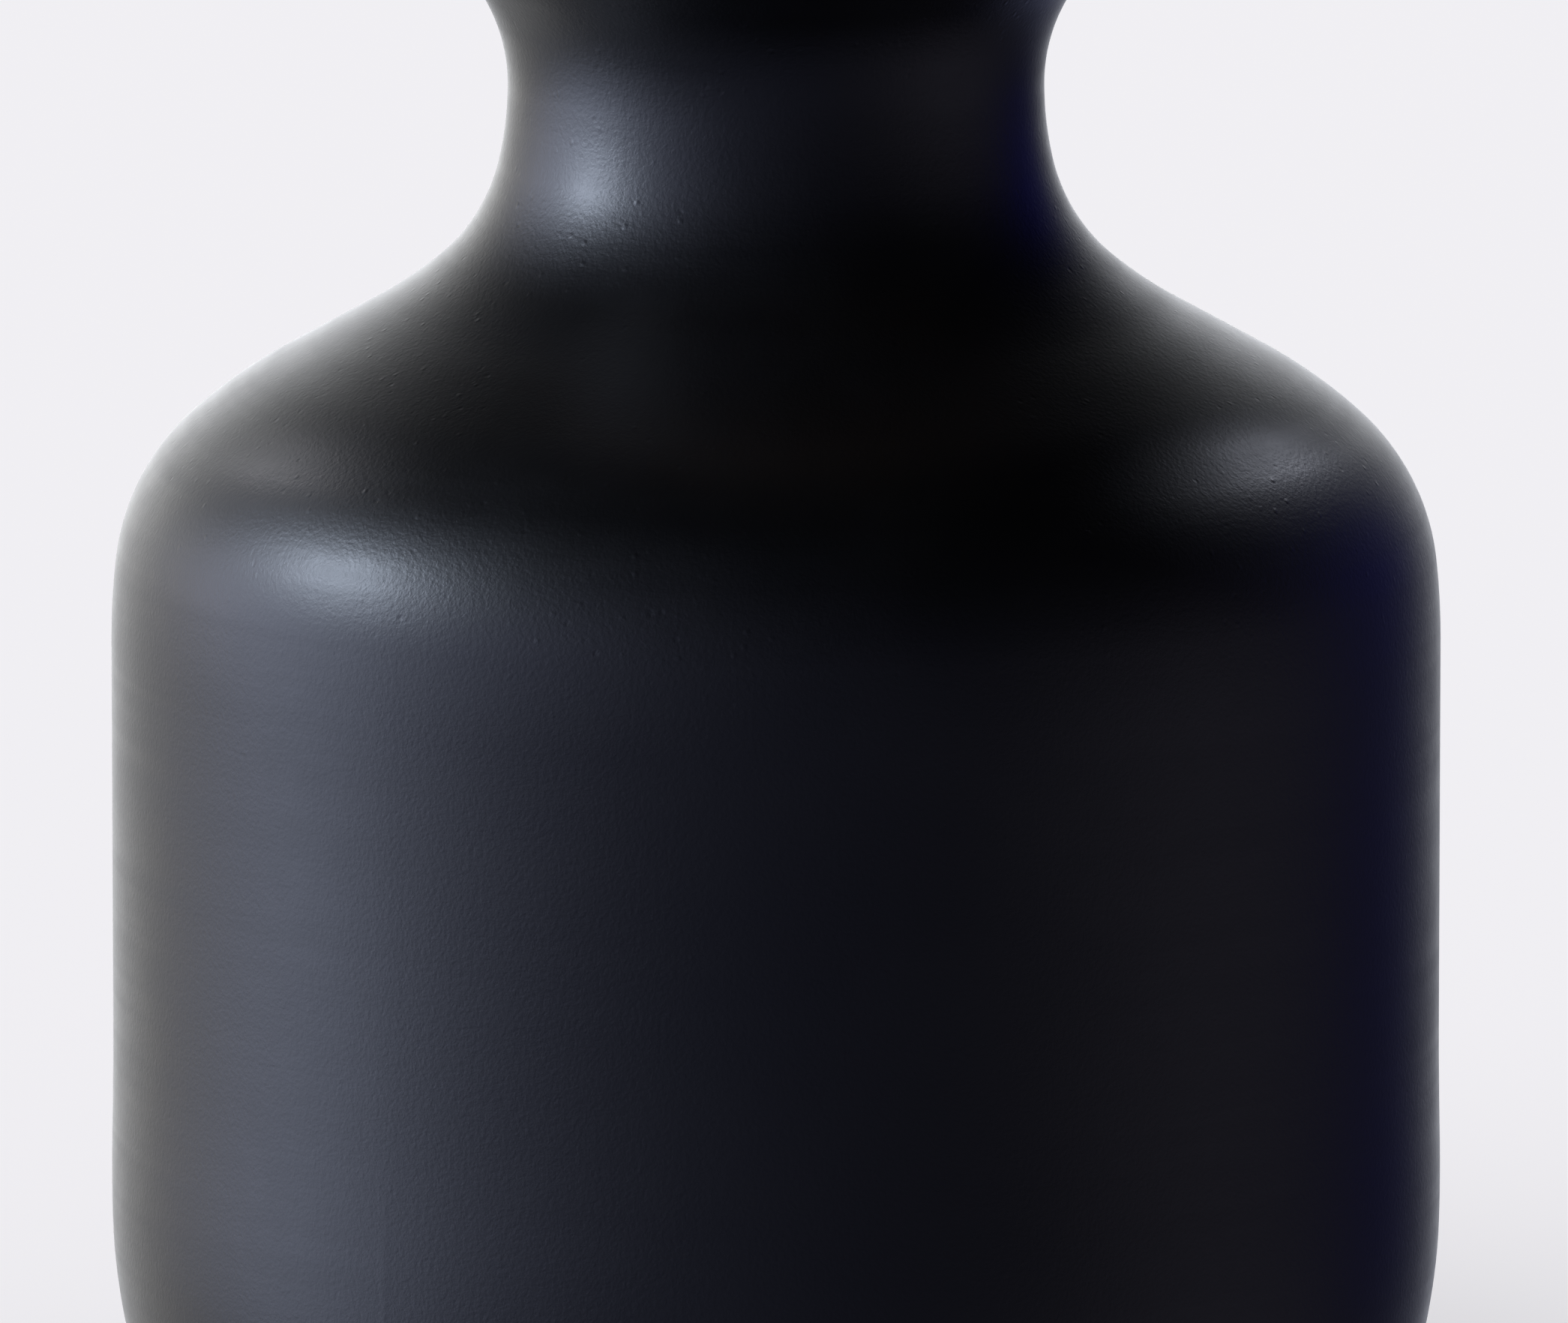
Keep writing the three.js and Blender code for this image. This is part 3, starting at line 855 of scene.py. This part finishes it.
def camera():
    """A long lens, framed on the body and the neck."""
    made = bpy.data.objects.new("camera", bpy.data.cameras.new("camera"))
    bpy.context.scene.collection.objects.link(made)
    made.data.sensor_width = SENSOR
    made.data.lens = LENS
    made.data.clip_end = CAMERA_REACH
    back = direction(0, CAMERA_ELEVATION)
    made.location = Vector(CAMERA_TARGET) + CAMERA_DISTANCE * back
    made.rotation_euler = (-back).to_track_quat("-Z", "Y").to_euler()
    bpy.context.scene.camera = made


def paper_material():
    """A glow that keeps the sheet even, added to a plain surface that takes shadows."""
    made = bpy.data.materials.new("paper")
    made.use_nodes = True
    made.node_tree.nodes.remove(made.node_tree.nodes["Principled BSDF"])
    tree = Tree(made.node_tree)
    shade = tuple(FLOOR_ALBEDO * c for c in PAPER[:3]) + (1,)
    glow = tree.add("ShaderNodeEmission", {"Color": PAPER, "Strength": SELF_LIT})
    plain = tree.add("ShaderNodeBsdfDiffuse", {"Color": shade})
    both = tree.add("ShaderNodeAddShader", {0: glow.outputs[0], 1: plain.outputs[0]})
    tree.put(made.node_tree.nodes["Material Output"].inputs["Surface"], both.outputs[0])
    return made


def floor():
    """A large pale sheet that gloss and matt surfaces don't see, as the world stands in for it."""
    mesh = bpy.data.meshes.new("floor")
    corners = [(-1, -1), (1, -1), (1, 1), (-1, 1)]
    mesh.from_pydata([(FLOOR_REACH * x, FLOOR_REACH * y, 0) for x, y in corners], [], [(0, 1, 2, 3)])
    mesh.materials.append(paper_material())
    made = bpy.data.objects.new("floor", mesh)
    bpy.context.scene.collection.objects.link(made)
    made.visible_glossy = False
    made.visible_diffuse = False


# Soft glows that the gloss mirrors: azimuth, elevation and half width in degrees, then the radiance
GLOWS = {
    "sweep_behind": (179, 1, 15, (4.1, 4.2, 4.4)),
    "sweep_left": (156, 2, 15, (1.85, 1.85, 1.8)),
    "wall_left": (124, 2, 15, (0.8, 0.7, 0.55)),
    "wall_left_low": (136, -38, 16, (1.0, 1.0, 1.0)),
    "window_back": (110, 8, 12, (2.4, 2.6, 3.5)),
    "window_left": (87, -7, 15, (2.8, 3.1, 4.1)),
    "window_front": (54, 8, 18, (0.8, 0.87, 1.3)),
    "room_front": (11, -22, 36, (0.13, 0.14, 0.24)),
    "room_right": (-78, -21, 26, (0.23, 0.22, 0.30)),
    "right_back": (-130, 5, 14, (0.01, 0.01, 0.27)),
    "table_behind": (-168, -37, 15, (0.45, 0.5, 0.9)),
}


def glows(tree):
    """The sum of all the glows as a colour, in the direction that a ray comes from."""
    ray = tree.add("ShaderNodeTexCoord").outputs["Generated"]
    total = (0, 0, 0)
    for azimuth, elevation, half_width, colour in GLOWS.values():
        values = {0: ray, 1: tuple(direction(azimuth, elevation))}
        nearness = tree.add("ShaderNodeVectorMath", values, operation="DOT_PRODUCT").outputs["Value"]
        sharpness = math.log(2) / (1 - math.cos(math.radians(half_width)))
        fall = tree.math("EXPONENT", tree.math("MULTIPLY_ADD", nearness, sharpness, -sharpness))
        grey = tree.add("ShaderNodeCombineXYZ", {0: fall, 1: fall, 2: fall}).outputs[0]
        values = {0: total, 1: tree.stretched(grey, colour)}
        total = tree.add("ShaderNodeVectorMath", values, operation="ADD").outputs[0]
    return total


def world():
    """The paper's colour for the camera, even light for matt surfaces, and soft glows for glossy ones."""
    made = bpy.data.worlds.new("studio")
    bpy.context.scene.world = made
    made.use_nodes = True
    tree = Tree(made.node_tree)
    path = tree.add("ShaderNodeLightPath").outputs
    seen = tree.mix(path["Is Glossy Ray"], PAPER, glows(tree))
    ambient = tuple(AMBIENT * c for c in PAPER[:3]) + (1,)
    seen = tree.mix(path["Is Diffuse Ray"], seen, ambient)
    tree.put(made.node_tree.nodes["Background"].inputs["Color"], seen)
    made.cycles.sampling_method = "NONE"    # each ray then finds the world that is meant for its kind
    bpy.context.scene.view_settings.view_transform = "Standard"


def soft_box(name, near, azimuth, elevation, distance, aim, size, grid, colour):
    """A soft box that the camera doesn't see, at a distance and in a direction from a point near the jar,
    aimed at another point. Its grid keeps light within that many degrees, and colour is the radiance."""
    at = Vector(near) + distance * direction(azimuth, elevation)
    data = bpy.data.lights.new(name, "AREA")
    data.shape = "RECTANGLE"
    data.size, data.size_y = size
    data.spread = math.radians(grid)
    strength = max(colour)
    data.energy = strength * math.pi * size[0] * size[1]
    data.color = [c / strength for c in colour]
    made = bpy.data.objects.new(name, data)
    bpy.context.scene.collection.objects.link(made)
    made.location = at
    made.rotation_euler = (Vector(aim) - at).to_track_quat("-Z", "Y").to_euler()
    made.visible_camera = False
    return made


def link_light(light, piece, state):
    """Lights only this piece for INCLUDE, or everything but it for EXCLUDE."""
    receivers = bpy.data.collections.new(light.name + "_receivers")
    receivers.objects.link(piece)
    receivers.collection_objects[0].light_linking.link_state = state
    light.light_linking.receiver_collection = receivers


# Soft boxes: a point of the vessel that mirrors the box, the box's azimuth, elevation and distance from it,
# the point that the box aims at, its width and height, grid in degrees, and radiance
SOFT_BOXES = {
    "key_body": ((-0.0320, -0.0361, 0.0776), 88, 22, 0.2, (-0.0350, -0.0390, 0.0515), (0.18, 0.065), 20,
                 (0.71, 0.81, 0.97)),
    "key_neck": ((-0.0136, -0.0154, 0.103), 83, 15, 0.2, (-0.0136, -0.0154, 0.111), (0.10, 0.06), 14,
                 (0.52, 0.59, 0.71)),
    "rim_right": ((0.0410, -0.0160, 0.0852), -143, 30, 0.12, (0.0535, -0.0165, 0.0835), (0.015, 0.04), 11,
                  (0.215, 0.225, 0.26)),
    "rim_left": ((-0.0410, -0.0158, 0.0846), 139, 30, 0.12, (-0.0530, -0.0160, 0.0825), (0.015, 0.04), 11,
                 (0.14, 0.14, 0.15)),
}


def lights(coated):
    """The soft boxes light only the coated vessel, and a broad sun lights the floor and the other pieces."""
    for name, settings in SOFT_BOXES.items():
        link_light(soft_box(name, *settings), coated, "INCLUDE")
    sun = bpy.data.objects.new("sun", bpy.data.lights.new("sun", "SUN"))
    bpy.context.scene.collection.objects.link(sun)
    sun.data.angle = math.radians(SUN_WIDTH)
    sun.data.energy = SUN_STRENGTH
    sun.rotation_euler = (-direction(*SUN_FROM)).to_track_quat("-Z", "Y").to_euler()
    link_light(sun, coated, "EXCLUDE")


# ---- build -----------------------------------------------------------------------------------------------

camera()
world()
floor()
lights(vessel())
pads()
lid(wood_material("oiled_wood_flat", 0, (0, 0.031, 0.052)))
knob(wood_material("oiled_wood_knob", 2, (0.013, 0.021, 0)))
SILICONE = silicone_material()
for ring in ("seal_ring_lower", "seal_ring_upper"):
    seal(ring, SILICONE)
STEEL = steel_material()
washer(STEEL)
screw(STEEL)
